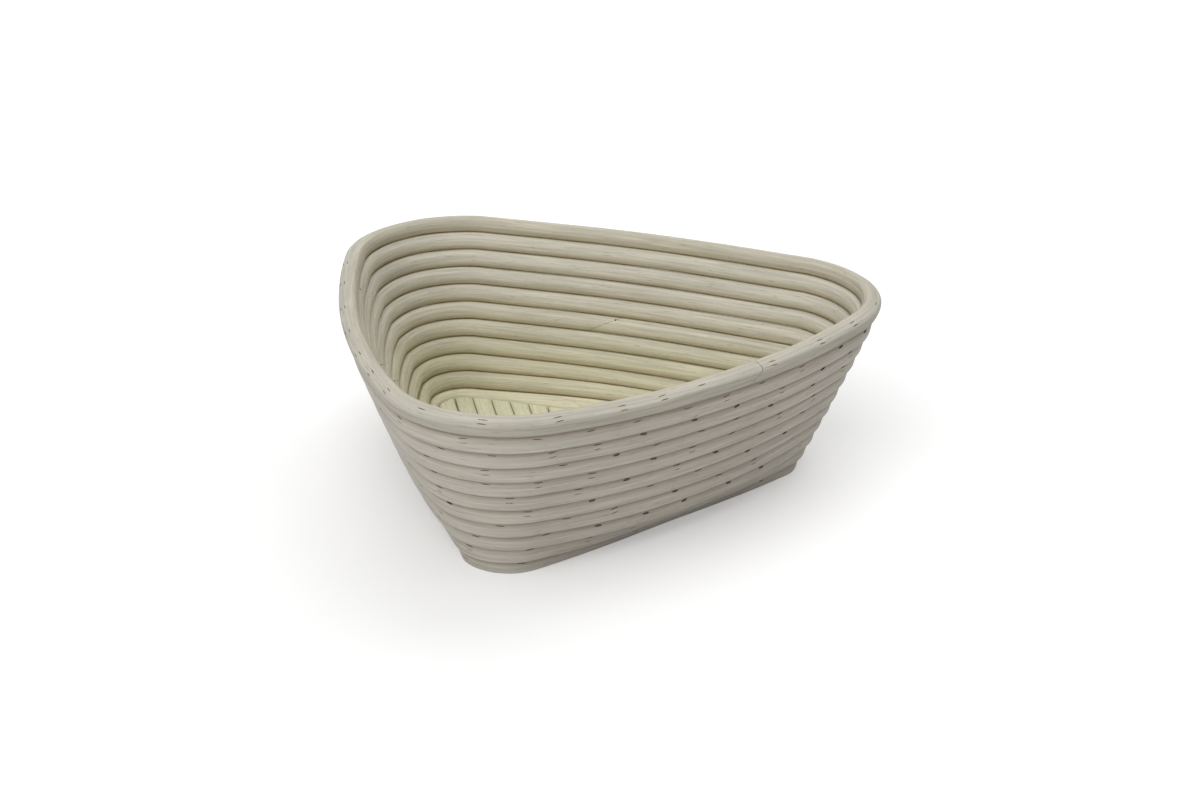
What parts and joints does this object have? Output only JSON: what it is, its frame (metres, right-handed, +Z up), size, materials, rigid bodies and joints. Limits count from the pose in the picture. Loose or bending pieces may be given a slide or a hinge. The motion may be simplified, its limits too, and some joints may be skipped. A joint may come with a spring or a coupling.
{
  "type": "proofing basket",
  "caption": "Triangular bread proofing basket of stacked, scarf-jointed cane hoops that flare to a rounded rim, with a floor of parallel cane slats; holds dough while it rises.",
  "frame": {"origin": "on the axis of the triangle, on the flat underside that stands on the table", "axes": "+Z up out of the open mouth, +X towards one rounded corner, +Y along the floor slats and the side opposite that corner"},
  "size_m": [0.2508, 0.2628, 0.0883],
  "materials": {
    "wall_cane": "peeled, unvarnished, fine lengthwise grain",
    "rim_cane": "peeled, unvarnished, sanded smooth",
    "floor_cane": "peeled, unvarnished, planed flat"
  },
  "bodies": {
    "root": {"base_hoop": "wall_cane", "wall_hoop_01": "wall_cane", "wall_hoop_02": "wall_cane", "wall_hoop_03": "wall_cane", "wall_hoop_04": "wall_cane", "wall_hoop_05": "wall_cane", "wall_hoop_06": "wall_cane", "wall_hoop_07": "wall_cane", "wall_hoop_08": "wall_cane", "wall_hoop_09": "wall_cane", "rim_hoop": "rim_cane", "floor_slat_01": "floor_cane", "floor_slat_02": "floor_cane", "floor_slat_03": "floor_cane", "floor_slat_04": "floor_cane", "floor_slat_05": "floor_cane", "floor_slat_06": "floor_cane", "floor_slat_07": "floor_cane", "floor_slat_08": "floor_cane", "floor_slat_09": "floor_cane", "floor_slat_10": "floor_cane", "floor_slat_11": "floor_cane", "floor_slat_12": "floor_cane", "floor_slat_13": "floor_cane", "floor_slat_14": "floor_cane", "floor_slat_15": "floor_cane", "floor_slat_16": "floor_cane", "floor_slat_17": "floor_cane"}
  },
  "joints": []
}
